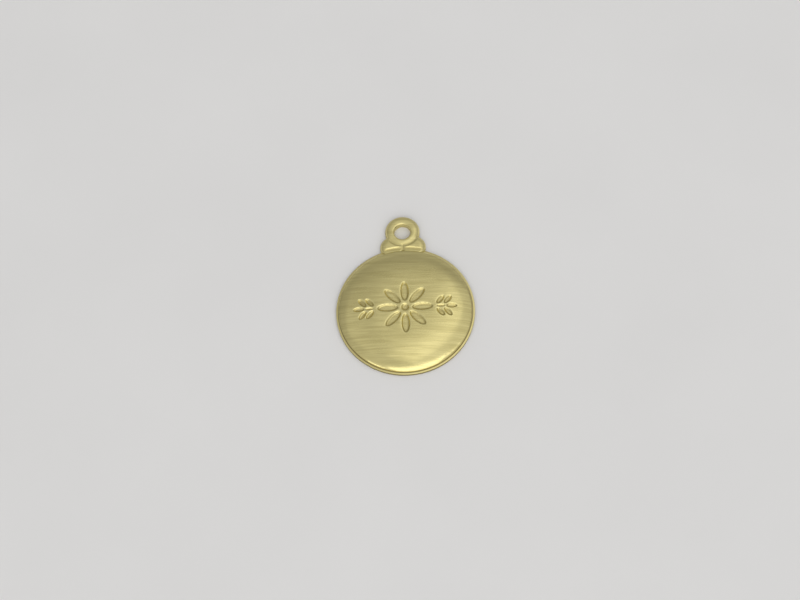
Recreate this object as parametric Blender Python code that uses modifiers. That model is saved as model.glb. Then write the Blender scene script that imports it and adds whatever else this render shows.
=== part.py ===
# A round charm of raw brass: a front shell stamped from thin sheet, soldered on a flat back plate.
#
# Metres, +Z up. The charm lies on its back, face up. The back is at z = 0, the middle of the disc
# is on the Z axis, and the eyelet points along +Y.

import math

import bmesh
import bpy
from mathutils import Matrix, Vector

MM = 0.001

# Back plate
DISC_RADIUS = 8.0 * MM
PLATE_THICKNESS = 0.30 * MM
NOTCH_FILLET = 0.15 * MM

# Solder seam, squeezed out a little past the shell's foot
SOLDER_THICKNESS = 0.05 * MM
SOLDER_SQUEEZE = 0.06 * MM

# Front shell: how far its foot stands in from the plate's edge, and how it is drawn. The dome is one
# curve: a higher flatness keeps its middle level further out, and a lower shoulder is squarer.
DISC_LEDGE = 0.28 * MM
NECK_LEDGE = 0.18 * MM
SHEET = 0.30 * MM
DOME_HEIGHT = 1.15 * MM
DOME_FLATNESS = 4.3
DOME_SHOULDER = 0.61
SHOULDER_WIDTH = 1.45 * MM

# Eyelet: its middle stands out from the disc's edge, and one hole goes through all three pieces, punched
# a little off the middle towards the disc and rounded on top
EYELET_REACH = 2.15 * MM
EYELET_RADIUS = 2.0 * MM
EYELET_ROUNDING = 0.58 * MM
EYELET_HEIGHT = 0.45 * MM
HOLE_RADIUS = 0.95 * MM
HOLE_OFFSET = 0.13 * MM
HOLE_ROUNDING = 0.18 * MM

# Two puffed lobes between the eyelet and the disc
LOBE_RADIUS = 1.43 * MM
LOBE_SPREAD = 1.225 * MM
LOBE_REACH = 0.15 * MM
LOBE_ROUNDING = 0.70 * MM
LOBE_HEIGHT = 0.45 * MM

# The sheet between the raised forms, and the grooves that part the lobes from disc and eyelet
WEB_INSET = 0.18 * MM
WEB_HEIGHT = 0.25 * MM
GROOVE_CLEARANCE = 0.05 * MM
GROOVE_SLOPE = math.radians(45)

# Pressed ornament: a rosette in the middle and a sprig on each side
PRESS_DEPTH = 0.20 * MM
PETAL_COUNT = 8
PETAL_LENGTH = 2.4 * MM
PETAL_WIDTH = 0.95 * MM
SEED_RADIUS = 0.45 * MM
SEED_CLEARANCE = 0.35 * MM
SPRIG_CLEARANCE = 0.45 * MM
FACE_MARGIN = 0.30 * MM
LEAF_LENGTH = 1.25 * MM
LEAF_WIDTH = 0.58 * MM
LEAF_PITCH = 0.85 * MM
LEAF_ANGLE = math.radians(48)
STEM_WIDTH = 0.30 * MM

# How round stretches are divided
DISC_SIDES = 96
SMALL_SIDES = 48
DOME_STEPS = 14
ROUNDING_STEPS = 7
PETAL_SIDES = 12
PETAL_RINGS = 6
MERGE_DISTANCE = 1e-6
CORNER_ANGLE = math.radians(35)

# Cutters reach past what they cut by this much
OVERCUT = 0.20 * MM
TAPER = 0.25

# Places that follow from the sizes
FOOT_Z = PLATE_THICKNESS + SOLDER_THICKNESS
SHELL_RADIUS = DISC_RADIUS - DISC_LEDGE
FACE_RADIUS = SHELL_RADIUS - SHOULDER_WIDTH
EYELET_CENTRE = Vector((0.0, DISC_RADIUS + EYELET_REACH))
EYELET_TOP = FOOT_Z + EYELET_HEIGHT
HOLE_CENTRE = EYELET_CENTRE - Vector((0.0, HOLE_OFFSET))
LOBE_CENTRE = Vector((LOBE_SPREAD, DISC_RADIUS + LOBE_REACH))
BEAD_RADIUS = EYELET_RADIUS - NECK_LEDGE
PAD_RADIUS = LOBE_RADIUS - NECK_LEDGE


def clear_scene():
    for item in list(bpy.data.objects):
        bpy.data.objects.remove(item, do_unlink=True)


def new_collection(name, parent=None):
    collection = bpy.data.collections.new(name)
    (parent or bpy.context.scene.collection).children.link(collection)
    return collection


def metal(name, colour, roughness):
    material = bpy.data.materials.new(name)
    material.use_nodes = True
    shader = material.node_tree.nodes["Principled BSDF"]
    shader.inputs["Base Color"].default_value = (*colour, 1.0)
    shader.inputs["Metallic"].default_value = 1.0
    shader.inputs["Roughness"].default_value = roughness
    return material


def make_cutter(item):
    item.hide_render = True
    item.display_type = "WIRE"
    return item


# Outlines

def crossing(centre_a, radius_a, centre_b, radius_b):
    """Where two circles cross, on the right of the way from A to B."""
    way = centre_b - centre_a
    distance = way.length
    along = (radius_a ** 2 - radius_b ** 2 + distance ** 2) / (2 * distance)
    across = math.sqrt(radius_a ** 2 - along ** 2)
    way.normalize()
    right = Vector((way.y, -way.x))
    return centre_a + way * along + right * across


def bearing(centre, point):
    offset = point - centre
    return math.atan2(offset.y, offset.x)


def arc(centre, radius, start, end, sides):
    """Points along an arc, with both its ends."""
    steps = max(2, math.ceil(abs(end - start) / math.tau * sides))
    angles = [start + (end - start) * step / steps for step in range(steps + 1)]
    return [centre + radius * Vector((math.cos(angle), math.sin(angle))) for angle in angles]


def circle(centre, radius, sides):
    return arc(centre, radius, 0.0, math.tau, sides)[:-1]


def charm_outline(disc_radius, lobe_radius, eyelet_radius):
    """Disc, two lobes and eyelet as one closed line, with a small fillet in each notch."""
    disc_centre = Vector((0.0, 0.0))
    lower = crossing(disc_centre, disc_radius + NOTCH_FILLET, LOBE_CENTRE, lobe_radius + NOTCH_FILLET)
    upper = crossing(LOBE_CENTRE, lobe_radius + NOTCH_FILLET, EYELET_CENTRE, eyelet_radius + NOTCH_FILLET)
    lower_in = bearing(lower, disc_centre) + math.tau
    lower_out = bearing(lower, LOBE_CENTRE)
    upper_in = bearing(upper, LOBE_CENTRE) + math.tau
    upper_out = bearing(upper, EYELET_CENTRE)
    right = arc(disc_centre, disc_radius, -math.pi / 2, bearing(disc_centre, lower), DISC_SIDES)
    right += arc(lower, NOTCH_FILLET, lower_in, lower_out, SMALL_SIDES)[1:]
    right += arc(LOBE_CENTRE, lobe_radius, bearing(LOBE_CENTRE, lower), bearing(LOBE_CENTRE, upper),
                 SMALL_SIDES)[1:]
    right += arc(upper, NOTCH_FILLET, upper_in, upper_out, SMALL_SIDES)[1:]
    right += arc(EYELET_CENTRE, eyelet_radius, bearing(EYELET_CENTRE, upper), math.pi / 2,
                 SMALL_SIDES)[1:]
    left = [Vector((-point.x, point.y)) for point in reversed(right[1:-1])]
    return right + left


def slab(name, outlines, bottom, thickness, collection):
    """A flat sheet cut to a line, with a hole for each further line."""
    curve = bpy.data.curves.new(name, "CURVE")
    curve.dimensions = "2D"
    curve.fill_mode = "BOTH"
    curve.extrude = thickness / 2
    for outline in outlines:
        spline = curve.splines.new("POLY")
        spline.points.add(len(outline) - 1)
        for point, place in zip(spline.points, outline):
            point.co = (place.x, place.y, 0.0, 1.0)
        spline.use_cyclic_u = True
    drawn = bpy.data.objects.new(name + "_outline", curve)
    drawn.location.z = bottom + thickness / 2
    collection.objects.link(drawn)
    bpy.context.view_layer.update()

    mesh = bpy.data.meshes.new_from_object(drawn.evaluated_get(bpy.context.evaluated_depsgraph_get()))
    shape = bmesh.new()
    shape.from_mesh(mesh)
    bmesh.ops.remove_doubles(shape, verts=shape.verts, dist=MERGE_DISTANCE)
    shape.to_mesh(mesh)
    shape.free()
    mesh.name = name
    solid = bpy.data.objects.new(name, mesh)
    solid.matrix_world = drawn.matrix_world
    collection.objects.link(solid)
    bpy.data.objects.remove(drawn, do_unlink=True)
    bpy.data.curves.remove(curve)
    return solid


# Turned forms

def turned(name, profile, centre, sides, collection):
    """A profile of (radius, height) points at +X, from the top down, turned about Z."""
    shape = bmesh.new()
    corners = [shape.verts.new((radius, 0.0, height)) for radius, height in profile]
    for upper, lower in zip(corners, corners[1:]):
        shape.edges.new((upper, lower))
    mesh = bpy.data.meshes.new(name)
    shape.to_mesh(mesh)
    shape.free()
    solid = bpy.data.objects.new(name, mesh)
    solid.location = (centre.x, centre.y, 0.0)
    collection.objects.link(solid)
    screw = solid.modifiers.new("Turn", "SCREW")
    screw.steps = sides
    screw.render_steps = sides
    screw.use_merge_vertices = True
    screw.merge_threshold = MERGE_DISTANCE
    screw.use_smooth_shade = True
    return solid


def underside(radius):
    """Below its foot a form tapers to a point, which the bed cuts off, so that no two forms have faces
    in one plane."""
    return [(radius, FOOT_Z - OVERCUT), (0.0, FOOT_Z - OVERCUT - radius * TAPER)]


def pad_profile(radius, rounding, height):
    """A flat pad with a quarter ellipse round its edge."""
    profile = [(0.0, FOOT_Z + height)]
    for step in range(ROUNDING_STEPS + 1):
        angle = math.pi / 2 * step / ROUNDING_STEPS
        profile.append((radius - rounding + rounding * math.sin(angle), FOOT_Z + height * math.cos(angle)))
    return profile + underside(radius)


def dome_profile(radius, height):
    """A drawn dome: nearly level in the middle, then one rounded shoulder down to an upright foot."""
    profile = []
    for step in range(DOME_STEPS + 1):
        angle = math.pi / 2 * step / DOME_STEPS
        profile.append((radius * math.sin(angle) ** (2 / DOME_FLATNESS),
                        FOOT_Z + height * math.cos(angle) ** (2 * DOME_SHOULDER)))
    return profile + underside(radius)


def boolean(item, operation, other):
    """Join or cut with one object or with all the objects of a collection."""
    modifier = item.modifiers.new(operation.title() + "_" + other.name, "BOOLEAN")
    modifier.operation = operation
    modifier.solver = "MANIFOLD"
    if isinstance(other, bpy.types.Collection):
        modifier.operand_type = "COLLECTION"
        modifier.collection = other
    else:
        modifier.object = other


def settled(item):
    """Keep the modifiers' result as the mesh, so that its real corners can be marked sharp."""
    bpy.context.view_layer.update()
    mesh = bpy.data.meshes.new_from_object(item.evaluated_get(bpy.context.evaluated_depsgraph_get()))
    mesh.shade_smooth()
    mesh.set_sharp_from_angle(angle=CORNER_ANGLE)
    item.modifiers.clear()
    item.data = mesh
    mesh.name = item.name
    return item


def groove(name, centre, radius, sides, cutters):
    """A cone that opens upward, to cut the lobes back round a foot of this radius."""
    bottom = FOOT_Z - 2 * OVERCUT
    top = FOOT_Z + LOBE_HEIGHT + OVERCUT
    narrow, wide = (radius + GROOVE_CLEARANCE + (height - FOOT_Z - WEB_HEIGHT) / math.tan(GROOVE_SLOPE)
                    for height in (bottom, top))
    return make_cutter(turned(name, [(0.0, top), (wide, top), (narrow, bottom), (0.0, bottom)], centre,
                              sides, cutters))


def neck(cutters):
    """Two puffed lobes, cut back round the disc and round the eyelet's bead, on one web of sheet."""
    lobe_profile = pad_profile(PAD_RADIUS, LOBE_ROUNDING, LOBE_HEIGHT)
    lobes = turned("neck", lobe_profile, LOBE_CENTRE, SMALL_SIDES, cutters)
    mirror = Vector((-LOBE_CENTRE.x, LOBE_CENTRE.y))
    left = turned("lobe_left", lobe_profile, mirror, SMALL_SIDES, cutters)
    line = charm_outline(SHELL_RADIUS - WEB_INSET, PAD_RADIUS - WEB_INSET, BEAD_RADIUS - WEB_INSET)
    web = slab("web", [line], FOOT_Z - OVERCUT / 2, WEB_HEIGHT + OVERCUT / 2, cutters)
    bead = turned("bead", pad_profile(BEAD_RADIUS, EYELET_ROUNDING, EYELET_HEIGHT), EYELET_CENTRE,
                  SMALL_SIDES, cutters)
    boolean(lobes, "UNION", make_cutter(left))
    boolean(lobes, "DIFFERENCE", groove("disc_groove", Vector((0.0, 0.0)), SHELL_RADIUS, DISC_SIDES, cutters))
    boolean(lobes, "DIFFERENCE", groove("eyelet_groove", EYELET_CENTRE, BEAD_RADIUS, SMALL_SIDES, cutters))
    boolean(lobes, "UNION", make_cutter(web))
    boolean(lobes, "UNION", make_cutter(bead))
    return make_cutter(lobes)


# Ornament

def face_height(reach):
    """Height of the domed face at a distance from the disc's middle."""
    share = reach / SHELL_RADIUS
    return FOOT_Z + DOME_HEIGHT * (1 - share ** DOME_FLATNESS) ** DOME_SHOULDER


def face_tilt(middle):
    """The turn that lays a mark on the slope of the face, falling away from the disc's middle."""
    share = middle.length / SHELL_RADIUS
    fall = (DOME_HEIGHT / SHELL_RADIUS * DOME_SHOULDER * DOME_FLATNESS
            * (1 - share ** DOME_FLATNESS) ** (DOME_SHOULDER - 1) * share ** (DOME_FLATNESS - 1))
    return Matrix.Rotation(math.atan(fall), 3, Vector((-middle.y, middle.x, 0.0)))


def rosette_marks():
    """Middle, turn, length and width of the seed and of each petal round it."""
    marks = [(Vector((0.0, 0.0)), 0.0, 2 * SEED_RADIUS, 2 * SEED_RADIUS)]
    reach = SEED_RADIUS + SEED_CLEARANCE + PETAL_LENGTH / 2
    for petal in range(PETAL_COUNT):
        angle = math.tau * petal / PETAL_COUNT
        marks.append((reach * Vector((math.cos(angle), math.sin(angle))), angle, PETAL_LENGTH, PETAL_WIDTH))
    return marks


def sprig_marks():
    """Stem, end leaf and pairs of leaves of the sprig on the right."""
    start = SEED_RADIUS + SEED_CLEARANCE + PETAL_LENGTH + SPRIG_CLEARANCE
    tip = FACE_RADIUS - FACE_MARGIN
    fork = tip - LEAF_LENGTH
    stem_length = fork - STEM_WIDTH / 2 - start
    marks = [(Vector((start + stem_length / 2, 0.0)), 0.0, stem_length, STEM_WIDTH),
             (Vector((tip - LEAF_LENGTH / 2, 0.0)), 0.0, LEAF_LENGTH, LEAF_WIDTH)]
    pairs = 1 + int((fork - start) / LEAF_PITCH)
    for pair in range(pairs):
        for side in (1, -1):
            root = Vector((start + pair * LEAF_PITCH, side * STEM_WIDTH))
            way = Vector((math.cos(LEAF_ANGLE), side * math.sin(LEAF_ANGLE)))
            marks.append((root + way * LEAF_LENGTH / 2, side * LEAF_ANGLE, LEAF_LENGTH, LEAF_WIDTH))
    return marks


def ornament_marks():
    right = sprig_marks()
    left = [(Vector((-middle.x, middle.y)), math.pi - turn, length, width)
            for middle, turn, length, width in right]
    return rosette_marks() + right + left


def presses(name, marks, drop, collection):
    """One sunk ellipsoid for each mark, its middle below the face by a drop."""
    for number, (middle, turn, length, width) in enumerate(marks, start=1):
        depth = min(PRESS_DEPTH, width / 2)
        shape = bmesh.new()
        bmesh.ops.create_uvsphere(shape, u_segments=PETAL_SIDES, v_segments=PETAL_RINGS, radius=1.0)
        bmesh.ops.scale(shape, verts=shape.verts, vec=(length / 2, width / 2, depth))
        bmesh.ops.rotate(shape, verts=shape.verts, matrix=Matrix.Rotation(turn, 3, "Z"))
        if middle.length > MERGE_DISTANCE:
            bmesh.ops.rotate(shape, verts=shape.verts, matrix=face_tilt(middle))
        mesh = bpy.data.meshes.new(name)
        shape.to_mesh(mesh)
        shape.free()
        press = bpy.data.objects.new("%s_%02d" % (name, number), mesh)
        press.location = (middle.x, middle.y, face_height(middle.length) - drop)
        collection.objects.link(press)
        make_cutter(press)


# Pieces

def punch(cutters):
    """The eyelet's hole, flared at the top to leave a rounded edge on the shell."""
    flare = HOLE_RADIUS + HOLE_ROUNDING
    profile = [(0.0, EYELET_TOP + OVERCUT), (flare + OVERCUT / 4, EYELET_TOP + OVERCUT),
               (flare + OVERCUT / 4, EYELET_TOP + OVERCUT / 20)]
    for step in range(ROUNDING_STEPS + 1):
        angle = math.pi / 2 * step / ROUNDING_STEPS
        profile.append((flare - HOLE_ROUNDING * math.sin(angle),
                        EYELET_TOP - HOLE_ROUNDING * (1 - math.cos(angle))))
    profile += [(HOLE_RADIUS, -OVERCUT), (0.0, -OVERCUT)]
    return make_cutter(turned("hole", profile, HOLE_CENTRE, SMALL_SIDES, cutters))


def bed(collection):
    """A block whose top is exactly the shell's foot, to cut every raised form off level."""
    side = 2 * (EYELET_CENTRE.y + EYELET_RADIUS + OVERCUT)
    depth = 2 * OVERCUT + DISC_RADIUS * TAPER
    shape = bmesh.new()
    bmesh.ops.create_cube(shape, size=1.0, matrix=Matrix.Translation((0.0, 0.0, -0.5)))
    bmesh.ops.scale(shape, verts=shape.verts, vec=(side, side, depth))
    bmesh.ops.translate(shape, verts=shape.verts, vec=(0.0, 0.0, FOOT_Z))
    mesh = bpy.data.meshes.new("bed")
    shape.to_mesh(mesh)
    shape.free()
    solid = bpy.data.objects.new("bed", mesh)
    collection.objects.link(solid)
    return make_cutter(solid)


def hollow(marks, cutters):
    """The space under the drawn face, with the back of each pressed mark standing into it."""
    space = turned("hollow", dome_profile(SHELL_RADIUS - SHEET, DOME_HEIGHT - SHEET), Vector((0.0, 0.0)),
                   DISC_SIDES, cutters)
    backs = new_collection("press_backs", cutters)
    presses("press_back", marks, SHEET, backs)
    boolean(space, "DIFFERENCE", backs)
    return make_cutter(space)


def front_shell(parts, cutters):
    shell = turned("front_shell", dome_profile(SHELL_RADIUS, DOME_HEIGHT), Vector((0.0, 0.0)), DISC_SIDES,
                   parts)
    boolean(shell, "UNION", neck(cutters))
    boolean(shell, "DIFFERENCE", bed(cutters))
    marks = ornament_marks()
    boolean(shell, "DIFFERENCE", hollow(marks, cutters))
    boolean(shell, "DIFFERENCE", punch(cutters))
    stamps = new_collection("presses", cutters)
    presses("press", marks, 0.0, stamps)
    boolean(shell, "DIFFERENCE", stamps)
    return settled(shell)


def solder_seam(parts):
    line = charm_outline(SHELL_RADIUS + SOLDER_SQUEEZE, PAD_RADIUS + SOLDER_SQUEEZE,
                         BEAD_RADIUS + SOLDER_SQUEEZE)
    inside = circle(Vector((0.0, 0.0)), SHELL_RADIUS - SHEET, DISC_SIDES)
    hole = circle(HOLE_CENTRE, HOLE_RADIUS, SMALL_SIDES)
    return slab("solder_seam", [line, inside, hole], PLATE_THICKNESS, SOLDER_THICKNESS, parts)


def back_plate(parts):
    line = charm_outline(DISC_RADIUS, LOBE_RADIUS, EYELET_RADIUS)
    hole = circle(HOLE_CENTRE, HOLE_RADIUS, SMALL_SIDES)
    return slab("back_plate", [line, hole], 0.0, PLATE_THICKNESS, parts)


def main():
    clear_scene()
    parts = new_collection("round_charm")
    cutters = new_collection("cutters")
    front_shell(parts, cutters).data.materials.append(metal("brushed_brass", (0.78, 0.69, 0.31), 0.35))
    back_plate(parts).data.materials.append(metal("plain_brass", (0.74, 0.64, 0.28), 0.30))
    solder_seam(parts).data.materials.append(metal("solder", (0.42, 0.37, 0.22), 0.45))


main()
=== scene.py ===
# %% [markdown]
# # A round charm of raw brass
# The real charm is sixteen millimetres across. A front shell is stamped from thin sheet and
# soldered on a flat back plate that stands out a little all round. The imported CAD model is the
# frame: it fixes where each piece is and how large, and this script gives the pieces their fine
# shape and their finish.

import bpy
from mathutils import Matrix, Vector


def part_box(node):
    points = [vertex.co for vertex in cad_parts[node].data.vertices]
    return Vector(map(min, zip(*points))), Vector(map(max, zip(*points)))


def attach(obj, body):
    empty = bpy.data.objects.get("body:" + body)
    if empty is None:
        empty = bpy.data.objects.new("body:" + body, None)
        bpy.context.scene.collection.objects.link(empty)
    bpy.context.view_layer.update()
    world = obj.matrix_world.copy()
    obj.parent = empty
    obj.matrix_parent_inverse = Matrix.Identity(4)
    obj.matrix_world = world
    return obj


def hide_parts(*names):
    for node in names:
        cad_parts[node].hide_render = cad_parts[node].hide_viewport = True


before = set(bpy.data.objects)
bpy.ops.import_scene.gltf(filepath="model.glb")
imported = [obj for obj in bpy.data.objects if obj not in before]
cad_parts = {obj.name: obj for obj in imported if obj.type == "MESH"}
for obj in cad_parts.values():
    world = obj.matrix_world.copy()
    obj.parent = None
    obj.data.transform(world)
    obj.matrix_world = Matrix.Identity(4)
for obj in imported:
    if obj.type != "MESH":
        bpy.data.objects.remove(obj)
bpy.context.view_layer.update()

import math

import bmesh
import bpy
import numpy as np
from mathutils import Matrix, Vector

MM = 0.001
print("nodes:", ", ".join(sorted(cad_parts)))

# %% [markdown]
# ## Camera
# The photograph looks down at the charm as it lies on its back. The angle could be guessed by
# eye, but on a round disc it can be measured: the disc's outline is an ellipse, and the ratio of
# its axes gives the height of the view. A small shift puts the disc where it stands in the
# picture.

# %% Camera
VIEW_DISTANCE = 300.0 * MM
VIEW_HEIGHT = math.radians(64.98)
VIEW_SIDE = math.radians(2.67)
VIEW_ROLL = math.radians(-5.27)
LENS_LENGTH = 117.1
LENS_SHIFT = (-0.00705, 0.01514)

back = Vector((math.sin(VIEW_SIDE) * math.cos(VIEW_HEIGHT),
               -math.cos(VIEW_SIDE) * math.cos(VIEW_HEIGHT), math.sin(VIEW_HEIGHT)))
level = Vector((math.cos(VIEW_SIDE), math.sin(VIEW_SIDE), 0.0))
upward = back.cross(level)
right = level * math.cos(VIEW_ROLL) + upward * math.sin(VIEW_ROLL)
above = upward * math.cos(VIEW_ROLL) - level * math.sin(VIEW_ROLL)

lens = bpy.data.cameras.new("camera")
lens.lens = LENS_LENGTH
lens.shift_x, lens.shift_y = LENS_SHIFT
camera = bpy.data.objects.new("camera", lens)
camera.matrix_world = Matrix((right, above, back)).transposed().to_4x4()
camera.location = back * VIEW_DISTANCE
bpy.context.scene.collection.objects.link(camera)
bpy.context.scene.camera = camera
print("the camera looks down at", round(math.degrees(VIEW_HEIGHT), 1), "degrees")

# %% [markdown]
# ## Sizes
# The frame gives each piece's box, but not the widths of its steps and roundings. Those are
# written here once, as on the drawing. Everything is in metres, so each number in millimetres is
# multiplied by MM. A groove has two sizes: how far it stands clear of what it goes round, and how
# high its bed lies.

# %% Sizes
FOOT_Z = 0.35 * MM
SHELL_RADIUS = 7.72 * MM
DOME_HEIGHT = 1.15 * MM
DOME_WALL = 0.20 * MM
DOME_FLATNESS = 4.3
DOME_SHOULDER = 0.80
SHEET = 0.30 * MM
SHOULDER_WIDTH = 1.45 * MM
FACE_RADIUS = SHELL_RADIUS - SHOULDER_WIDTH

EYELET_CENTRE = Vector((0.0, 10.15 * MM, 0.0))
BEAD_RADIUS = 1.93 * MM
BEAD_ROUNDING = 0.58 * MM
HOLE_CENTRE = Vector((0.0, 10.02 * MM, 0.0))
HOLE_RADIUS = 0.95 * MM
HOLE_ROUNDING = 0.18 * MM
LOBE_CENTRE = Vector((1.225 * MM, 8.15 * MM, 0.0))
LOBE_RADIUS = 1.37 * MM
LOBE_ROUNDING = 0.70 * MM
NECK_HEIGHT = 0.45 * MM
WEB = (1.2 * MM, 1.6 * MM)
WEB_HEIGHT = 0.25 * MM
DISC_GROOVE = (0.28 * MM, 0.34 * MM)
BEAD_GROOVE = (0.05 * MM, 0.35 * MM)

shell_low, shell_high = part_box("front_shell")
print("shell from", round(shell_low.z / MM, 3), "to", round(shell_high.z / MM, 3), "mm in height")

# %% [markdown]
# ## Building with a bmesh
# A bmesh is a mesh in memory that operators shape, before it becomes an object. Joining and
# cutting could be left as live modifiers, but the next step often needs the real result, so each
# one is settled at once.

# %% Meshes and Booleans
def new_mesh(name, shape):
    """Turn a bmesh into an object whose place is in its mesh."""
    bmesh.ops.recalc_face_normals(shape, faces=shape.faces)
    mesh = bpy.data.meshes.new(name)
    shape.to_mesh(mesh)
    shape.free()
    item = bpy.data.objects.new(name, mesh)
    bpy.context.scene.collection.objects.link(item)
    return item


def settle(item):
    """Keep what the modifiers make as the mesh itself."""
    bpy.context.view_layer.update()
    made = item.evaluated_get(bpy.context.evaluated_depsgraph_get())
    mesh = bpy.data.meshes.new_from_object(made)
    item.modifiers.clear()
    item.data = mesh
    return item


def combine(item, operation, other):
    """Join or cut with another closed piece, which is used up."""
    modifier = item.modifiers.new(operation.title(), "BOOLEAN")
    modifier.operation = operation
    modifier.solver = "MANIFOLD"
    modifier.object = other
    settle(item)
    bpy.data.objects.remove(other, do_unlink=True)
    return item

# %% [markdown]
# ## Handing a piece to the frame
# Each finished piece is handed over in the same way: it moves with the charm's one body, and it
# stands for its CAD solid.

# %% Finished pieces
SHARP_ANGLE = math.radians(38)


def finished(item, node):
    """Hand a piece to the frame in place of a CAD node."""
    item.name = "fine_" + node
    item.data.name = item.name
    item.data.shade_smooth()
    item.data.set_sharp_from_angle(angle=SHARP_ANGLE)
    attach(item, "root")
    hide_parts(node)
    low, high = [Vector(item.bound_box[corner]) for corner in (0, 6)]
    triangles = sum(len(face.vertices) - 2 for face in item.data.polygons)
    size = [round(side / MM, 2) for side in high - low]
    print(item.name, "has", triangles, "triangles and is", size, "mm")
    return item

# %% [markdown]
# ## Turned forms
# Dome, eyelet and lobes are all round, because the real die was turned on a lathe. Half of the
# section is drawn as a line and spun once round its axis, which needs only a few points and stays
# exact.

# %% Turned forms
SPIN_MERGE = 0.0005 * MM


def spun(name, profile, centre, steps):
    """Turn a closed line of (radius, height) corners once round Z, then move it to its place."""
    shape = bmesh.new()
    corners = [shape.verts.new((radius, 0.0, height)) for radius, height in profile]
    edges = [shape.edges.new(pair) for pair in zip(corners, corners[1:])]
    if profile[0][0] > 0.0:
        edges.append(shape.edges.new((corners[-1], corners[0])))
    bmesh.ops.spin(shape, geom=corners + edges, cent=(0.0, 0.0, 0.0), axis=(0.0, 0.0, 1.0),
                   dvec=(0.0, 0.0, 0.0), angle=math.tau, steps=steps, use_merge=True,
                   use_duplicate=False)
    bmesh.ops.remove_doubles(shape, verts=shape.verts, dist=SPIN_MERGE)
    bmesh.ops.translate(shape, verts=shape.verts, vec=(centre.x, centre.y, 0.0))
    return new_mesh(name, shape)


def quarter_round(radius, rounding, foot, height, steps):
    """Corners of a quarter ellipse, from the flat top outwards and down to the foot."""
    turns = [math.pi / 2 * step / steps for step in range(steps + 1)]
    return [(radius - rounding + rounding * math.sin(turn), foot + height * math.cos(turn))
            for turn in turns]

# %% [markdown]
# ## Pressed ornament
# A rosette and two sprigs are struck into the face with a steel punch, as folk jewellers do. Each
# mark is a long oval. They could be cut by Booleans, but a punch leaves soft lips and sloping
# walls, so the sheet is moved instead: how deep a point goes depends only on how far inside an
# oval it lies.

# %% Where the marks are
PRESS_DEPTH = 0.20 * MM
PETAL_COUNT = 8
PETAL = (2.4 * MM, 0.95 * MM)
SEED = (0.9 * MM, 0.9 * MM)
LEAF = (1.25 * MM, 0.58 * MM)
SEED_CLEARANCE = 0.35 * MM
SPRIG_CLEARANCE = 0.45 * MM
FACE_MARGIN = 0.30 * MM
LEAF_PITCH = 0.85 * MM
LEAF_ANGLE = math.radians(48)
STEM_WIDTH = 0.30 * MM

marks = [(0.0, 0.0, 0.0, *SEED)]
petal_reach = SEED[0] / 2 + SEED_CLEARANCE + PETAL[0] / 2
for petal in range(PETAL_COUNT):
    turn = math.tau * petal / PETAL_COUNT
    marks.append((petal_reach * math.cos(turn), petal_reach * math.sin(turn), turn, *PETAL))

stem_start = SEED[0] / 2 + SEED_CLEARANCE + PETAL[0] + SPRIG_CLEARANCE
leaf_tip = FACE_RADIUS - FACE_MARGIN
fork = leaf_tip - LEAF[0]
stem_length = fork - STEM_WIDTH / 2 - stem_start
sprig = [(stem_start + stem_length / 2, 0.0, 0.0, stem_length, STEM_WIDTH),
         (leaf_tip - LEAF[0] / 2, 0.0, 0.0, *LEAF)]
for pair in range(1 + int((fork - stem_start) / LEAF_PITCH)):
    for side in (1, -1):
        root_x = stem_start + pair * LEAF_PITCH
        leaf_x = root_x + math.cos(LEAF_ANGLE) * LEAF[0] / 2
        leaf_y = side * (STEM_WIDTH + math.sin(LEAF_ANGLE) * LEAF[0] / 2)
        sprig.append((leaf_x, leaf_y, side * LEAF_ANGLE, *LEAF))
marks += sprig + [(-x, y, math.pi - turn, length, width) for x, y, turn, length, width in sprig]
print(len(marks), "marks, the outermost reaches", round(leaf_tip / MM, 2), "mm from the middle")

# %% [markdown]
# ## How a punch moves the sheet
# Under a punch the sheet follows its shape with sloping walls, and the metal beside it is pulled
# down a little too. The depth is worked out for any place on the face, so the same rule serves
# every mark and neighbouring marks blend instead of cutting into each other.

# %% How deep the sheet is pressed
WALL_WIDTH = 0.21 * MM
NARROW_MARK_DEPTH = 0.75
LIP = 0.06 * MM
HALO_DEPTH = 0.012 * MM
HALO_WIDTH = 0.32 * MM


def pressed(x, y):
    """Depth of the pressed sheet under arrays of places, with a soft lip round each mark."""
    depth = np.zeros_like(x)
    nearest = np.full_like(x, 10.0 * MM)
    for middle_x, middle_y, turn, length, width in marks:
        along = (x - middle_x) * math.cos(turn) + (y - middle_y) * math.sin(turn)
        across = (y - middle_y) * math.cos(turn) - (x - middle_x) * math.sin(turn)
        half_long, half_wide = length / 2, width / 2
        ratio = np.sqrt((along / half_long) ** 2 + (across / half_wide) ** 2)
        steepness = np.sqrt((along / half_long ** 2) ** 2 + (across / half_wide ** 2) ** 2)
        outside = (ratio - 1.0) * ratio / np.maximum(steepness, 1e-9)
        outside = np.where(ratio < 0.05, -half_wide, np.maximum(outside, -half_wide))
        wall = min(WALL_WIDTH, half_wide)
        deep = min(PRESS_DEPTH, half_wide * NARROW_MARK_DEPTH)
        share = np.clip(-outside / wall, 0.0, 1.0)
        inside = -deep * (1.0 - (1.0 - share) ** 2)
        bowl = np.where(outside < 0.0, inside, outside * 2.0 * deep / wall)
        blend = np.clip(LIP - np.abs(bowl), 0.0, LIP) ** 2 / (4.0 * LIP)
        depth = np.minimum(depth, np.minimum(bowl, 0.0) - blend)
        nearest = np.minimum(nearest, outside)
    halo = HALO_DEPTH * np.exp(-np.maximum(nearest, 0.0) / HALO_WIDTH)
    return depth - halo


petal_depth = -float(pressed(np.array([petal_reach]), np.array([0.0]))[0])
print("a petal's middle goes down", round(petal_depth / MM, 3), "mm")

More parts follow.
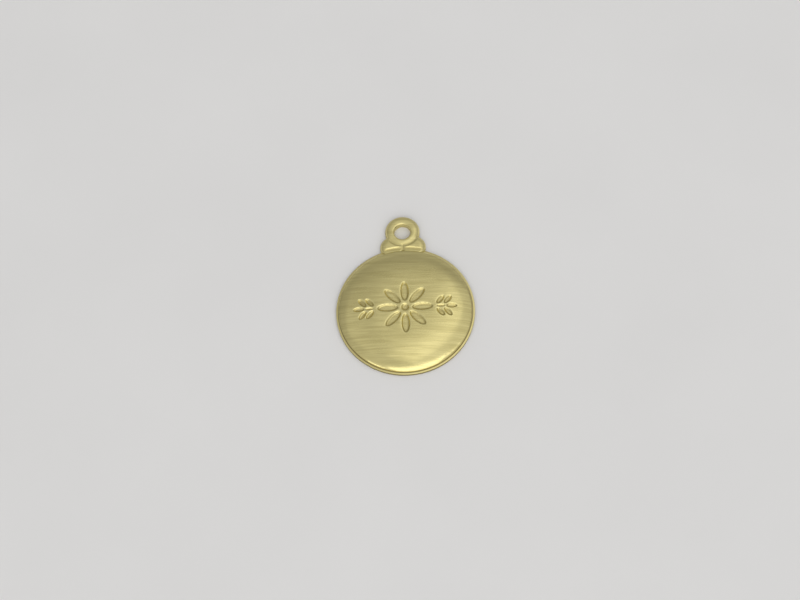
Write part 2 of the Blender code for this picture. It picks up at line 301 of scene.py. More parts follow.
# %% [markdown]
# ## Front shell: the drawn dome
# A press draws the sheet over a smooth die, so the dome is one curve, level in the middle and
# steeper towards its foot, where it ends in a short upright wall. It could be spun, but a spun
# disc has tiny faces in the middle and long ones outside, and the punched marks need an even
# mesh. So a square grid is pulled round until its edge is a circle, and only the shoulder is then
# drawn down from that edge.

# %% A square grid pulled round
FACE_CELLS = 208


def dome_line(radius, height, first_reach, steps):
    """Corners of the dome's curve from one reach down to its foot."""
    first_turn = math.asin((first_reach / radius) ** (DOME_FLATNESS / 2))
    turns = [first_turn + (math.pi / 2 - first_turn) * step / steps for step in range(steps + 1)]
    return [(radius * math.sin(turn) ** (2 / DOME_FLATNESS),
             FOOT_Z + DOME_WALL + (height - DOME_WALL) * math.cos(turn) ** (2 * DOME_SHOULDER))
            for turn in turns]


dome = bmesh.new()
bmesh.ops.create_grid(dome, x_segments=FACE_CELLS, y_segments=FACE_CELLS, size=1.0)
square = np.array([corner.co for corner in dome.verts])
round_x = square[:, 0] * np.sqrt(1.0 - square[:, 1] ** 2 / 2.0) * FACE_RADIUS
round_y = square[:, 1] * np.sqrt(1.0 - square[:, 0] ** 2 / 2.0) * FACE_RADIUS
share = np.hypot(round_x, round_y) / SHELL_RADIUS
drop = (1.0 - share ** DOME_FLATNESS) ** DOME_SHOULDER
height = FOOT_Z + DOME_WALL + (DOME_HEIGHT - DOME_WALL) * drop + pressed(round_x, round_y)
for corner, x, y, z in zip(dome.verts, round_x, round_y, height):
    corner.co = (x, y, z)
print("face cells are", round(2 * FACE_RADIUS / FACE_CELLS / MM, 3), "mm wide")

# %% [markdown]
# ## Front shell: the shoulder
# Towards its edge the dome turns down to an upright foot, which the solder holds. Ring after ring
# is extruded from the grid's edge and set on the same curve. The last ring is closed, so that the
# dome is a solid that Booleans can join and cut.

# %% Shoulder, drawn down from the grid's edge
SHOULDER_STEPS = 30

ring = [edge for edge in dome.edges if edge.is_boundary]
shoulder = dome_line(SHELL_RADIUS, DOME_HEIGHT, FACE_RADIUS, SHOULDER_STEPS)[1:]
for radius, drop_to in shoulder + [(SHELL_RADIUS, FOOT_Z)]:
    made = bmesh.ops.extrude_edge_only(dome, edges=ring)["geom"]
    corners = [part for part in made if isinstance(part, bmesh.types.BMVert)]
    ring = [part for part in made if isinstance(part, bmesh.types.BMEdge)]
    outward = np.array([corner.co.xy.normalized() for corner in corners]) * radius
    sunk = pressed(*outward.T) * (1.0 - ((radius - FACE_RADIUS) / SHOULDER_WIDTH) ** 2)
    for corner, (x, y), z in zip(corners, outward, sunk):
        corner.co = (x, y, drop_to + z)
bmesh.ops.contextual_create(dome, geom=ring)
shell = new_mesh("shell", dome)
reached_z = [corner.co.z / MM for corner in shell.data.vertices]
print("dome from", round(min(reached_z), 3), "to", round(max(reached_z), 3), "mm")

# %% [markdown]
# ## Front shell: eyelet and lobes
# The charm hangs by an eyelet, and between it and the disc stand two puffed lobes. All three
# could be modelled by hand from one grid, but they are plain round pads, so they are spun and
# joined. They reach a little under the shell's foot, where a plane cuts them off later.

# %% Turned forms of the neck
UNDER = 0.20 * MM
PAD_STEPS = 20


def pad(name, radius, rounding, centre, steps):
    """A round pad with a flat top and a rounded edge."""
    line = [(0.0, FOOT_Z + NECK_HEIGHT)]
    line += quarter_round(radius, rounding, FOOT_Z, NECK_HEIGHT, PAD_STEPS)
    return spun(name, line + [(radius, FOOT_Z - UNDER), (0.0, FOOT_Z - UNDER)], centre, steps)


bead = pad("bead", BEAD_RADIUS, BEAD_ROUNDING, EYELET_CENTRE, 160)
mirrored = Vector((-LOBE_CENTRE.x, LOBE_CENTRE.y, 0.0))
lobes = [pad("lobe", LOBE_RADIUS, LOBE_ROUNDING, centre, 128)
         for centre in (LOBE_CENTRE, mirrored)]
neck = combine(lobes[0], "UNION", lobes[1])
print("neck forms:", len(neck.data.polygons), "faces")

# %% [markdown]
# ## Front shell: grooves
# The stamping die parts the lobes from the disc and from the eyelet with shallow grooves. The one
# round the disc is the wider. A cone cut round each of them leaves a level bed and a wall that
# slopes at 45 degrees, as a die needs to let go. A low web joins the lobes under the eyelet.

# %% Grooves round the disc and round the bead
for centre, radius, steps, (clearance, bed) in ((Vector(), SHELL_RADIUS, 256, DISC_GROOVE),
                                                (EYELET_CENTRE, BEAD_RADIUS, 160, BEAD_GROOVE)):
    narrow = radius + clearance
    rise = 2 * NECK_HEIGHT
    groove = [(0.0, FOOT_Z + bed), (narrow, FOOT_Z + bed),
              (narrow + rise, FOOT_Z + bed + rise), (0.0, FOOT_Z + bed + rise)]
    combine(neck, "DIFFERENCE", spun("groove", groove, centre, steps))

WEB_GAP = 0.01 * MM

web = bmesh.new()
bmesh.ops.create_cube(web, size=1.0)
bmesh.ops.scale(web, verts=web.verts, vec=(*WEB, WEB_HEIGHT + UNDER - WEB_GAP))
bmesh.ops.translate(web, verts=web.verts,
                    vec=(0.0, LOBE_CENTRE.y, FOOT_Z + (WEB_HEIGHT - UNDER) / 2))
combine(neck, "UNION", new_mesh("web", web))
combine(neck, "UNION", bead)
print("neck with grooves and bead:", len(neck.data.polygons), "faces")

# %% [markdown]
# ## Front shell: the hole
# The hole is punched last, a little off the eyelet's middle towards the disc, and its upper edge
# is broken so that it doesn't cut a cord. The punch is spun with that rounding already on it, so
# that one cut does both.

# %% Hole
FLARE_STEPS = 12
PUNCH_COLLAR = 0.05 * MM
PUNCH_GAP = 0.01 * MM

flare = HOLE_RADIUS + HOLE_ROUNDING
bead_top = FOOT_Z + NECK_HEIGHT
collar = flare + PUNCH_COLLAR
punch = [(0.0, 2 * bead_top), (collar, 2 * bead_top), (collar, bead_top + PUNCH_GAP)]
for step in range(FLARE_STEPS + 1):
    turn = math.pi / 2 * step / FLARE_STEPS
    punch.append((flare - HOLE_ROUNDING * math.sin(turn),
                  bead_top - HOLE_ROUNDING * (1 - math.cos(turn))))
punch += [(HOLE_RADIUS, -UNDER), (0.0, -UNDER)]
combine(neck, "DIFFERENCE", spun("punch", punch, HOLE_CENTRE, 160))
across_hole, across_flare = [round(2 * radius / MM, 2) for radius in (HOLE_RADIUS, flare)]
print("the hole is", across_hole, "mm across and", across_flare, "mm at its top")

# %% [markdown]
# ## Front shell: soft lines
# Metal under a press flows into a soft line where two forms meet, never into a knife-sharp one.
# Bevels on so many curved seams would fail somewhere, so the neck is remeshed in small even cells
# and smoothed by a few strokes. Then a plane cuts it off level at its foot.

# %% Even cells and a soft line where forms meet
NECK_CELL = 0.036 * MM
SOFTENING = 14

remesh = neck.modifiers.new("Even cells", "REMESH")
remesh.mode = "VOXEL"
remesh.voxel_size = NECK_CELL
settle(neck)
soft = bmesh.new()
soft.from_mesh(neck.data)
for stroke in range(SOFTENING):
    bmesh.ops.smooth_vert(soft, verts=soft.verts, factor=0.5, use_axis_x=True, use_axis_y=True,
                          use_axis_z=True)
bmesh.ops.bisect_plane(soft, geom=soft.verts[:] + soft.edges[:] + soft.faces[:],
                       plane_co=(0.0, 0.0, FOOT_Z), plane_no=(0.0, 0.0, -1.0), clear_outer=True)
rim_edges = [edge for edge in soft.edges if edge.is_boundary]
bmesh.ops.triangle_fill(soft, edges=rim_edges, use_beauty=True, use_dissolve=False)
soft.to_mesh(neck.data)
soft.free()
print("even neck:", len(neck.data.polygons), "faces")

# %% [markdown]
# ## Front shell: one sheet
# Dome and neck are one piece of sheet on the real charm, so they are joined. Under the dome is a
# shallow hollow that the back plate closes. It can't be seen, but the shell is a drawn sheet and
# not a lump, so the same curve, one sheet smaller, is cut out from below.

# %% Join the neck to the dome, then hollow the dome from below
INNER_STEPS = 16

combine(shell, "UNION", neck)
inner_radius = SHELL_RADIUS - SHEET
inner = dome_line(inner_radius, DOME_HEIGHT - SHEET, 0.0, INNER_STEPS)
space = spun("space", inner + [(inner_radius, 0.0), (0.0, 0.0)], Vector(), 160)
combine(shell, "DIFFERENCE", space)
shell = finished(shell, "front_shell")

# %% [markdown]
# ## Back plate and solder seam
# The plate is a flat blank cut with a punch, and the solder under the shell has squeezed out to a
# thin line. Both have the charm's outline, which the CAD solids already hold. So a copy of each
# is merged, its flat sides become single faces, and the long edges are bevelled to catch the
# light.

# %% Back plate and solder seam
NODE_MERGE = 0.001 * MM
FLAT_ANGLE = math.radians(0.5)
PLATE_ROUNDING = 0.035 * MM
SEAM_ROUNDING = 0.012 * MM


def from_node(node, edge_round, steps):
    """A copy of a flat CAD solid with one face a side and rounded edges."""
    shape = bmesh.new()
    shape.from_mesh(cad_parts[node].data)
    bmesh.ops.remove_doubles(shape, verts=shape.verts, dist=NODE_MERGE)
    bmesh.ops.dissolve_limit(shape, angle_limit=FLAT_ANGLE, verts=shape.verts,
                             edges=shape.edges)
    rims = [edge for edge in shape.edges if not edge.is_boundary
            and abs(edge.verts[0].co.z - edge.verts[1].co.z) < NODE_MERGE]
    bmesh.ops.bevel(shape, geom=rims, offset=edge_round, offset_type="OFFSET", segments=steps,
                    profile=0.5, affect="EDGES", clamp_overlap=True, material=-1)
    return new_mesh(node, shape)


plate = finished(from_node("back_plate", PLATE_ROUNDING, 3), "back_plate")
seam = finished(from_node("solder_seam", SEAM_ROUNDING, 2), "solder_seam")

# %% [markdown]
# ## Paper
# The charm lies on a sheet of white paper. It is only a stage, so it is a plain plane.

# %% Paper
PAPER_REACH = 1.5

paper_shape = bmesh.new()
bmesh.ops.create_grid(paper_shape, x_segments=1, y_segments=1, size=PAPER_REACH)
paper = new_mesh("paper", paper_shape)
print("the paper reaches", PAPER_REACH, "m to each side")

# %% [markdown]
# ## Where metal wears, and where hollows darken
# Handling polishes the edges that stand out, and tarnish stays in the hollows; the hollows'
# darkening is partly that tarnish and partly painted shade. Blender can guess both from how a
# surface bends, but its own measure looks no further than one cell.
# Here the mesh is smoothed many times in memory only, and how far each point then lies above or
# below the smoothed copy says how much it stands out. Both are kept on the mesh as attributes
# that the materials read.

# %% Measure edges and hollows
SMOOTHING_SHARE = 0.6


def mark_edges(item, passes, full):
    """Store how much each point stands out (worn) or lies in a hollow (deep), from 0 to 1."""
    mesh = item.data
    count = len(mesh.vertices)
    place = np.empty(count * 3)
    mesh.vertices.foreach_get("co", place)
    place = place.reshape(-1, 3)
    pairs = np.empty(len(mesh.edges) * 2, np.int64)
    mesh.edges.foreach_get("vertices", pairs)
    first, second = pairs.reshape(-1, 2).T
    neighbours = np.bincount(np.concatenate((first, second)), minlength=count)
    soft_place = place.copy()
    for step in range(passes):
        for axis in range(3):
            total = np.bincount(first, soft_place[second, axis], count)
            total += np.bincount(second, soft_place[first, axis], count)
            middle = total / np.maximum(neighbours, 1)
            soft_place[:, axis] += SMOOTHING_SHARE * (middle - soft_place[:, axis])
    outward = np.array([vertex.normal for vertex in mesh.vertices])
    proud = ((place - soft_place) * outward).sum(axis=1) / full
    # deep later darkens the hollows with tarnish and painted shade
    for name, value in (("worn", proud), ("deep", -proud)):
        attribute = mesh.attributes.new(name, "FLOAT", "POINT")
        attribute.data.foreach_set("value", np.clip(value, 0.0, 1.0).astype(np.float32))
    print(item.name, "worn on", round(100 * float((proud > 0.3).mean()), 1), "% of its points")


mark_edges(shell, passes=14, full=0.020 * MM)
mark_edges(plate, passes=3, full=0.015 * MM)
mark_edges(seam, passes=3, full=0.015 * MM)

# %% [markdown]
# ## Finishes
# The brass is raw: no lacquer, brushed with fine lines across the face after stamping. One colour
# with one roughness would look like plastic, so each finish mixes four effects, made once as node
# groups: brush lines, uneven handling, a smoother edge, and the worn places and the hollows
# measured above, which are darkened by tarnish and painted shade. Written out node by node a
# finish is long, so a few helpers come first. Each makes one or two nodes and hands back their
# result.

# %% Helpers for nodes
def new_group(name, inputs, outputs):
    """A node group with number sockets. Gives the group, what comes in and what goes out."""
    group = bpy.data.node_groups.new(name, "ShaderNodeTree")
    sockets = group.interface
    for label, value in inputs:
        made = sockets.new_socket(label, in_out="INPUT", socket_type="NodeSocketFloat")
        made.default_value = value
    for label in outputs:
        sockets.new_socket(label, in_out="OUTPUT", socket_type="NodeSocketFloat")
    nodes = group.nodes
    return group, nodes.new("NodeGroupInput").outputs, nodes.new("NodeGroupOutput").inputs


def math_node(tree, operation, first, second=None, third=None):
    """One sum, product or the like of up to three sockets or numbers."""
    made = tree.nodes.new("ShaderNodeMath")
    made.operation = operation
    for socket, value in zip(made.inputs, (first, second, third)):
        if isinstance(value, bpy.types.NodeSocket):
            tree.links.new(value, socket)
        elif value is not None:
            socket.default_value = value
    return made.outputs["Value"]


def product(tree, first, second):
    """One value times another."""
    return math_node(tree, "MULTIPLY", first, second)


def plus(tree, base, value, share):
    """A base and a share of a value on top."""
    return math_node(tree, "MULTIPLY_ADD", value, share, base)


def ranged(tree, value, low, high):
    """Stretch the part of a value between low and high to 0 and 1."""
    made = tree.nodes.new("ShaderNodeMapRange")
    made.inputs["From Min"].default_value = low
    made.inputs["From Max"].default_value = high
    tree.links.new(value, made.inputs["Value"])
    return made.outputs["Result"]

# %% [markdown]
# ## Patterns that sit on the piece
# A pattern has to stay on its piece from every side, so it reads the piece's own coordinates.
# They are in metres, and noise is easier to think of in cells for each millimetre, so a Mapping
# node does the sum and turns the pattern too.

# %% Noise and distance
EVEN = (1.0, 1.0, 1.0)


def noise_node(tree, scale, detail, stretch, turn=0.0):
    """Noise on the piece. Scale and stretch along the turned axes are in cells for each mm."""
    place = tree.nodes.new("ShaderNodeTexCoord")
    mapping = tree.nodes.new("ShaderNodeMapping")
    mapping.vector_type = "TEXTURE"
    mapping.inputs["Rotation"].default_value = (0.0, 0.0, turn)
    mapping.inputs["Scale"].default_value = [MM / share for share in stretch]
    texture = tree.nodes.new("ShaderNodeTexNoise")
    texture.inputs["Scale"].default_value = scale
    texture.inputs["Detail"].default_value = detail
    tree.links.new(place.outputs["Object"], mapping.inputs["Vector"])
    tree.links.new(mapping.outputs["Vector"], texture.inputs["Vector"])
    return texture.outputs["Fac"]


def flat_distance(tree, centre):
    """How far a point lies from the upright axis through a centre."""
    offset = tree.nodes.new("ShaderNodeVectorMath")
    offset.operation = "MULTIPLY_ADD"
    offset.inputs[1].default_value = (1.0, 1.0, 0.0)
    offset.inputs[2].default_value = (-centre.x, -centre.y, 0.0)
    tree.links.new(tree.nodes.new("ShaderNodeTexCoord").outputs["Object"], offset.inputs[0])
    length = tree.nodes.new("ShaderNodeVectorMath")
    length.operation = "LENGTH"
    tree.links.new(offset.outputs["Vector"], length.inputs[0])
    return length.outputs["Value"]

# %% [markdown]
# ## Brush lines
# Brushing leaves lines of three sizes: hair-fine ones, strokes that run part of the way across
# the face, and broad faint bands where the brush pressed harder. Noise stretched along the
# brush's way gives all three and never repeats, which a drawn stripe pattern would. The lines
# don't run quite square to the eyelet, because nobody lines up so small a charm exactly: in the
# photograph they are turned by 3 degrees.

# %% Brush lines
BRUSH_TURN = math.radians(-3.1)
FINE_CELLS, STROKE_CELLS, BAND_CELLS = (0.40, 14.0, 0.5), (0.30, 5.5, 0.3), (0.14, 1.6, 0.1)
FINE_SPREAD, STROKE_SPREAD, BAND_SPREAD = (0.33, 0.67), (0.35, 0.65), (0.35, 0.65)
FINE_TONE, STROKE_TONE, BAND_TONE = 0.25, 0.50, 0.25
FINE_RELIEF = 0.6

brushing, brush_in, brush_out = new_group("brush lines", [("Depth", 1.0)], ["Tone", "Height"])
fine = noise_node(brushing, 1.0, 2.0, FINE_CELLS, BRUSH_TURN)
strokes = noise_node(brushing, 1.0, 2.0, STROKE_CELLS, BRUSH_TURN)
bands = noise_node(brushing, 1.0, 1.0, BAND_CELLS, BRUSH_TURN)
tone = product(brushing, ranged(brushing, bands, *BAND_SPREAD), BAND_TONE)
tone = plus(brushing, tone, ranged(brushing, strokes, *STROKE_SPREAD), STROKE_TONE)
tone = plus(brushing, tone, ranged(brushing, fine, *FINE_SPREAD), FINE_TONE)
brushing.links.new(product(brushing, tone, brush_in["Depth"]), brush_out["Tone"])
brushing.links.new(plus(brushing, strokes, fine, FINE_RELIEF), brush_out["Height"])
print("the group", brushing.name, "has", len(brushing.nodes), "nodes")

# %% [markdown]
# ## Handling
# Fingers leave dull patches on raw brass, and small pits stay from the rolling of the sheet. Real
# pits would need a far finer mesh, so two plain noises give a mask for each.

# %% Handling
SMUDGE_CELLS, PIT_CELLS = 0.35, 9.0
SMUDGE_SPREAD, PIT_SPREAD = (0.35, 0.7), (0.66, 0.76)

handling, _, handling_out = new_group("handling", [], ["Smudge", "Pits"])
smudge = ranged(handling, noise_node(handling, SMUDGE_CELLS, 3.0, EVEN), *SMUDGE_SPREAD)
pits = ranged(handling, noise_node(handling, PIT_CELLS, 1.0, EVEN), *PIT_SPREAD)
handling.links.new(smudge, handling_out["Smudge"])
handling.links.new(pits, handling_out["Pits"])
print("the group", handling.name, "has", len(handling.nodes), "nodes")

# %% [markdown]
# ## The smoother edge
# The brush bears on the level face and hardly reaches the shoulder, which keeps the press's own
# smooth finish. The neck lies beyond it and is duller than both. Two materials could be given to
# faces by hand, but the change is gradual, so how far a point lies from the disc's middle says
# which it is.

# %% The smoother edge
SHOULDER_FADE = (5.9 * MM, 7.0 * MM)
NECK_FADE = (7.70 * MM, 7.90 * MM)
NECK_DULLNESS = -1.9

smoothing, _, smooth_out = new_group("smoother edge", [], ["Share"])
from_middle = flat_distance(smoothing, Vector())
polished = ranged(smoothing, from_middle, *SHOULDER_FADE)
beyond = ranged(smoothing, from_middle, *NECK_FADE)
smoothing.links.new(plus(smoothing, polished, beyond, NECK_DULLNESS), smooth_out["Share"])
print("the group", smoothing.name, "has", len(smoothing.nodes), "nodes")

# %% [markdown]
# ## Worn edges, and hollows darkened by tarnish and painted shade
# The two attributes measured on the meshes become masks here. A little noise breaks them up,
# because no edge wears evenly. The hollows take tarnish and painted shade. The corner where the
# dome meets the plate, and the bed of the groove between the disc and the lobes, get painted shade
# too. The plate's top is one face with no points inside, so that corner is found by its radius and
# height, and so is the groove's bed.

# %% Worn edges, and hollows darkened by tarnish and painted shade
CORNER_RADIUS = 7.75 * MM
CORNER_FADE, CORNER_TOP = (0.08 * MM, 0.04 * MM), (0.60 * MM, 0.45 * MM)
BED_RADIUS = 7.86 * MM
BED_FADE, BED_FOOT = (0.18 * MM, 0.12 * MM), (0.60 * MM, 0.65 * MM)
# Shares of the dark colour: painted shade in the groove's bed, tarnish with painted shade in
# hollows
BED_SHADE = 0.45
HOLLOW_TARNISH_AND_SHADE = 0.45
UNEVEN_CELLS = 1.8
UNEVEN_LEAST, UNEVEN_SHARE = 0.6, 0.8


def near(tree, reach, radius, gone, full):
    """1 within one distance of a radius, fading to 0 at another."""
    off = math_node(tree, "ABSOLUTE", math_node(tree, "SUBTRACT", reach, radius))
    return ranged(tree, off, gone, full)


ageing_and_shade, age_and_shade_in, age_and_shade_out = new_group("edges and hollows", [("Amount", 1.0)], ["Worn", "Deep"])
spot = ageing_and_shade.nodes.new("ShaderNodeSeparateXYZ")
ageing_and_shade.links.new(ageing_and_shade.nodes.new("ShaderNodeTexCoord").outputs["Object"], spot.inputs["Vector"])
reach = flat_distance(ageing_and_shade, Vector())
# Painted shade in the corner at the dome's foot and in the bed of the groove round the disc
corner = product(ageing_and_shade, near(ageing_and_shade, reach, CORNER_RADIUS, *CORNER_FADE),
                 ranged(ageing_and_shade, spot.outputs["Z"], *CORNER_TOP))
bed = product(ageing_and_shade, near(ageing_and_shade, reach, BED_RADIUS, *BED_FADE),
              ranged(ageing_and_shade, spot.outputs["Z"], *BED_FOOT))
painted_recess_shade = plus(ageing_and_shade, corner, bed, BED_SHADE)
for label in ("Worn", "Deep"):
    reading = ageing_and_shade.nodes.new("ShaderNodeAttribute")
    reading.attribute_name = label.lower()
    noise = noise_node(ageing_and_shade, UNEVEN_CELLS, 3.0, EVEN)
    uneven = plus(ageing_and_shade, UNEVEN_LEAST, noise, UNEVEN_SHARE)
    spread = product(ageing_and_shade, reading.outputs["Fac"], uneven)
    # Deep darkens hollows: partly tarnish, partly painted shade
    if label == "Deep":
        spread = math_node(ageing_and_shade, "MAXIMUM", product(ageing_and_shade, spread, HOLLOW_TARNISH_AND_SHADE), painted_recess_shade)
    ageing_and_shade.links.new(product(ageing_and_shade, spread, age_and_shade_in["Amount"]), age_and_shade_out[label])
print("the group", ageing_and_shade.name, "has", len(ageing_and_shade.nodes), "nodes")

# %% [markdown]
# ## Masks of a metal
# All three pieces are metals that differ only in numbers, so one set of functions serves them
# all. First come the masks. The brush reaches only what faces up, so its lines are kept off
# upright walls. A sheared side is torn and dull, and on the plate its upright sides also get
# painted shade. The wall of the hole is left out of that mask and keeps its plain metal.

# %% Masks of a metal
BRUSHED_LEVEL = (0.3, 0.8)
HOLE_WALL = (1.05 * MM, 1.25 * MM)


def placed(tree, group, **values):
    """Put a node group in a material, set its numbers and hand back what it puts out."""
    made = tree.nodes.new("ShaderNodeGroup")
    made.node_tree = group
    for label, value in values.items():
        made.inputs[label].default_value = value
    return made.outputs


def masks_of(tree, lines, age_and_shade, sheared_and_shaded):
    """Every mask that a metal's colour, roughness and relief are made from."""
    brushed = placed(tree, brushing, Depth=lines)
    handled = placed(tree, handling)
    aged_and_shaded = placed(tree, ageing_and_shade, Amount=age_and_shade)
    facing = tree.nodes.new("ShaderNodeSeparateXYZ")
    tree.links.new(tree.nodes.new("ShaderNodeTexCoord").outputs["Normal"], facing.inputs["Vector"])
    level_share = math_node(tree, "ABSOLUTE", facing.outputs["Z"])
    reached = ranged(tree, level_share, *BRUSHED_LEVEL)
    masks = {"tone": product(tree, brushed["Tone"], reached), "lines": brushed["Height"],
             "reached": reached, "smudge": handled["Smudge"], "pits": handled["Pits"],
             "worn": aged_and_shaded["Worn"], "deep": aged_and_shaded["Deep"], "edge": placed(tree, smoothing)["Share"]}
    if sheared_and_shaded:
        # Upright sides of the plate away from the hole take the dark colour: sheared dullness and
        # painted shade
        off_hole = ranged(tree, flat_distance(tree, HOLE_CENTRE), *HOLE_WALL)
        upright = product(tree, math_node(tree, "SUBTRACT", 1.0, level_share), off_hole)
        masks["cut"] = product(tree, upright, sheared_and_shaded)
    return masks

# %% [markdown]
# ## Colour, roughness and relief
# Each mask changes one or two of the three a little. The colour goes from light to dark metal in
# the brush lines, to a dark colour in hollows and on sheared sides, which is partly tarnish and
# partly painted shade, and back to light metal on worn edges. The roughness goes up in brush
# lines, dull patches and hollows and on sheared sides, and down on worn edges. Lines and pits are
# too fine for the mesh, so they are a bump of a few thousandths of a millimetre.

# %% Colour, roughness and relief
# The first share says how far hollows take the dark colour, which is tarnish and painted shade
TARNISH_AND_SHADE_SHARE, WEAR_SHARE = 0.75, 0.6
ROUGHER = {"cut": 0.25, "tone": 0.06, "smudge": 0.06, "worn": -0.10, "deep": 0.10}
PIT_RELIEF = -0.5


def mixed(tree, factor, first, second):
    """Mix two colours, each a socket or a plain colour."""
    made = tree.nodes.new("ShaderNodeMix")
    made.data_type = "RGBA"
    made.clamp_factor = True
    tree.links.new(factor, made.inputs["Factor"])
    for socket, value in ((made.inputs[6], first), (made.inputs[7], second)):
        if isinstance(value, bpy.types.NodeSocket):
            tree.links.new(value, socket)
        else:
            socket.default_value = (*value, 1.0)
    return made.outputs[2]


def metal_colour(tree, masks, light, dark, tarnish_and_shade):
    """Light and dark lines, tarnish and painted shade in hollows, light metal on worn edges."""
    colour = mixed(tree, masks["tone"], light, dark)
    colour = mixed(tree, product(tree, masks["deep"], TARNISH_AND_SHADE_SHARE), colour, tarnish_and_shade)
    colour = mixed(tree, product(tree, masks["worn"], WEAR_SHARE), colour, light)
    # The plate's upright sides: sheared dullness and painted shade
    return mixed(tree, masks["cut"], colour, tarnish_and_shade) if "cut" in masks else colour


def metal_roughness(tree, masks, roughness, edge_roughness):
    """One roughness on the face, another at the smoother edge, and what the masks change."""
    rough = plus(tree, roughness, masks["edge"], edge_roughness - roughness)
    for label, change in ROUGHER.items():
        if label in masks:
            rough = plus(tree, rough, masks[label], change)
    return rough


def metal_relief(tree, masks, relief):
    """Brush lines where the brush reached, and pits, as deep as the relief says."""
    bump = tree.nodes.new("ShaderNodeBump")
    bump.inputs["Strength"].default_value = 1.0
    bump.inputs["Distance"].default_value = relief
    sunk = product(tree, masks["pits"], PIT_RELIEF)
    tree.links.new(plus(tree, sunk, masks["lines"], masks["reached"]), bump.inputs["Height"])
    return bump.outputs["Normal"]

# %% [markdown]
# ## The metal itself
# A brushed metal mirrors a lamp as a streak across its lines. Fine enough scratches would do that
# by themselves but can't be rendered at this size. The shader's anisotropic setting does it
# instead, with a tangent that lies square to the lines.

# %% A function for the metals
def metal(name, light, dark, tarnish_and_shade, roughness, edge_roughness, anisotropic, lines, age_and_shade, relief,
          sheared_and_shaded=0.0):
    """A raw metal from three colours, two roughnesses and the strength of each effect."""
    material = bpy.data.materials.new(name)
    material.use_nodes = True
    tree = material.node_tree
    shader = tree.nodes["Principled BSDF"]
    shader.inputs["Metallic"].default_value = 1.0
    shader.inputs["Anisotropic"].default_value = anisotropic

    masks = masks_of(tree, lines, age_and_shade, sheared_and_shaded)
    tree.links.new(metal_colour(tree, masks, light, dark, tarnish_and_shade), shader.inputs["Base Color"])
    tree.links.new(metal_roughness(tree, masks, roughness, edge_roughness),
                   shader.inputs["Roughness"])
    tree.links.new(metal_relief(tree, masks, relief), shader.inputs["Normal"])

    across = tree.nodes.new("ShaderNodeVectorMath")
    across.operation = "CROSS_PRODUCT"
    across.inputs[1].default_value = (math.cos(BRUSH_TURN), math.sin(BRUSH_TURN), 0.0)
    tree.links.new(tree.nodes.new("ShaderNodeNewGeometry").outputs["Normal"], across.inputs[0])
    tree.links.new(across.outputs["Vector"], shader.inputs["Tangent"])
    return material

# %% [markdown]
# ## Brass and solder
# The shell is brushed brass. The plate is the same alloy but keeps the mill's plainer finish, and
# the solder is greyer and duller than both. Their colours were found by comparing renders with
# the photograph.

# %% Brass and solder
# Each metal's darkest colour serves as tarnish and as painted shade in hollows and corners, and on
# the plate's upright sides
finishes = (
    (shell, metal("brushed_brass", light=(0.76, 0.67, 0.31), dark=(0.555, 0.48, 0.203),
                  tarnish_and_shade=(0.36, 0.285, 0.09), roughness=0.20, edge_roughness=0.11,
                  anisotropic=0.6, lines=1.0, age_and_shade=1.0, relief=0.0045 * MM)),
    (plate, metal("plain_brass", light=(0.69, 0.60, 0.27), dark=(0.60, 0.52, 0.22),
                  tarnish_and_shade=(0.27, 0.215, 0.07), roughness=0.27, edge_roughness=0.27,
                  anisotropic=0.2, lines=0.6, age_and_shade=1.0, relief=0.0008 * MM, sheared_and_shaded=0.95)),
    (seam, metal("solder", light=(0.42, 0.37, 0.22), dark=(0.30, 0.26, 0.15),
                 tarnish_and_shade=(0.16, 0.125, 0.05), roughness=0.42, edge_roughness=0.42,
                 anisotropic=0.0, lines=0.5, age_and_shade=1.0, relief=0.0010 * MM)))
for item, finish in finishes:
    item.data.materials.clear()
    item.data.materials.append(finish)
    print(item.name, "is finished in", finish.name)

# %% [markdown]
# ## Paper's finish
# Copying paper is matt and nearly even. One plain white would do from afar, but a faint slow
# noise keeps it from looking like a computer's white.

# %% Paper's finish
PAPER_LIGHT = (0.755, 0.747, 0.738)
PAPER_DARK = (0.735, 0.727, 0.718)
PAPER_ROUGHNESS = 0.85
FIBRE_CELLS, FIBRE_SPREAD = 0.05, (0.3, 0.7)

paper_finish = bpy.data.materials.new("white_paper")
paper_finish.use_nodes = True
paper_tree = paper_finish.node_tree
paper_shader = paper_tree.nodes["Principled BSDF"]
paper_shader.inputs["Roughness"].default_value = PAPER_ROUGHNESS
fibre = ranged(paper_tree, noise_node(paper_tree, FIBRE_CELLS, 4.0, EVEN), *FIBRE_SPREAD)
paper_tree.links.new(mixed(paper_tree, fibre, PAPER_LIGHT, PAPER_DARK),
                     paper_shader.inputs["Base Color"])
paper.data.materials.append(paper_finish)
print("the paper is finished in", paper_finish.name)

# %% [markdown]
# ## Room light
# The photograph was taken in a pale room with its windows towards the viewer. Bare metal shows
# whatever stands round it, so an even grey world would leave it flat, and a modelled room would
# be a lot of work for a blurred reflection. The room is therefore a soft change of grey: brighter
# towards the viewer and overhead, darker behind.

# %% Room light
ROOM = 0.32
ROOM_ABOVE = 0.20
ROOM_FRONT = 0.52

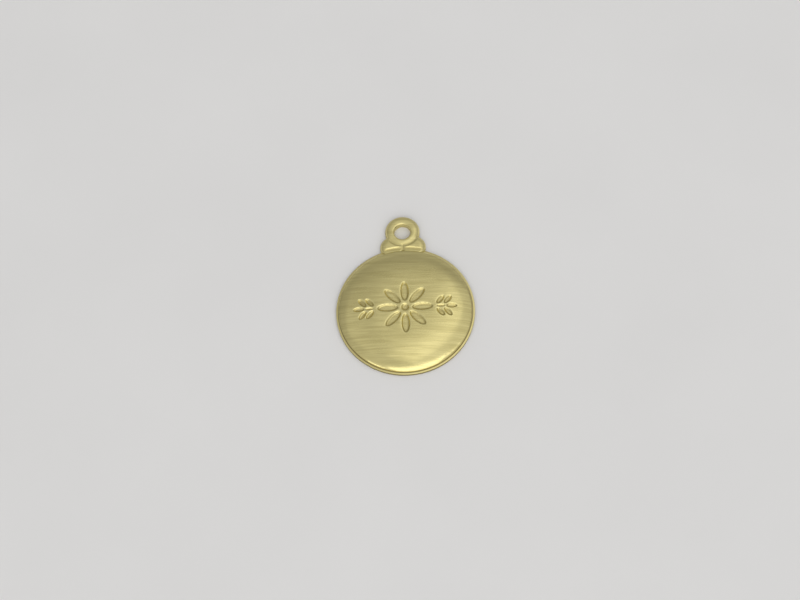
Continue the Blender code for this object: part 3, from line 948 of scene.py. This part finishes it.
world = bpy.data.worlds.new("room")
bpy.context.scene.world = world
world.use_nodes = True
sky = world.node_tree
towards = sky.nodes.new("ShaderNodeSeparateXYZ")
sky.links.new(sky.nodes.new("ShaderNodeTexCoord").outputs["Generated"], towards.inputs["Vector"])
above_share = math_node(sky, "MAXIMUM", towards.outputs["Z"], 0.0)
viewer_side = plus(sky, 0.5, towards.outputs["Y"], -0.5)
front_share = math_node(sky, "POWER", viewer_side, 2.0)
brightness = plus(sky, ROOM, above_share, ROOM_ABOVE)
brightness = plus(sky, brightness, front_share, ROOM_FRONT)
sky.links.new(brightness, sky.nodes["Background"].inputs["Strength"])
sky.nodes["Background"].inputs["Color"].default_value = (1.0, 1.0, 1.0, 1.0)
print("the room is", ROOM, "behind and", round(ROOM + ROOM_FRONT, 2), "towards the viewer")

# %% [markdown]
# ## Soft lamps
# A window and its reflections are rectangles of light. An area lamp's strength is given in watts,
# but what the metal shows is its radiance, which for a white wall in plain light is 1. So the
# helper takes the radiance and works out the watts. Each lamp has an azimuth and an elevation in
# degrees, a width and a height in metres, and its radiance. They were fitted to the shading in
# the photograph.

# %% Soft lamps
def softbox(name, azimuth, elevation, width, height, radiance):
    """A rectangular lamp a metre away that faces the charm. Azimuth 0 is in front, 90 right."""
    data = bpy.data.lights.new(name, "AREA")
    data.shape = "RECTANGLE"
    data.size, data.size_y = width, height
    data.energy = radiance * math.pi * width * height
    lamp = bpy.data.objects.new(name, data)
    turn, rise = math.radians(azimuth), math.radians(elevation)
    level = math.cos(rise)
    way = Vector((math.sin(turn) * level, -math.cos(turn) * level, math.sin(rise)))
    lamp.location = way
    lamp.rotation_mode = "QUATERNION"
    lamp.rotation_quaternion = way.to_track_quat("Z", "Y")
    bpy.context.scene.collection.objects.link(lamp)
    print(name, "shines", round(data.energy, 3), "W")


softbox("window", 12, 41, 1.00, 0.88, 0.74)
softbox("window_top", 15, 53, 2.00, 0.30, 0.40)
softbox("right_wall", 103, 55, 1.23, 1.50, 0.24)
softbox("left_wall", 240, 60, 0.50, 0.50, 0.12)
softbox("back_wall", 178, 12, 2.00, 0.50, 0.13)
softbox("ceiling", 141, 74, 0.34, 0.90, 0.38)
softbox("desk_lamp", 317, 30, 0.34, 0.30, 0.90)

# %% [markdown]
# ## Colours as written
# The Standard view shows a colour as it is written in the material, with no film look over it.

# %% Finish
bpy.context.scene.view_settings.view_transform = "Standard"
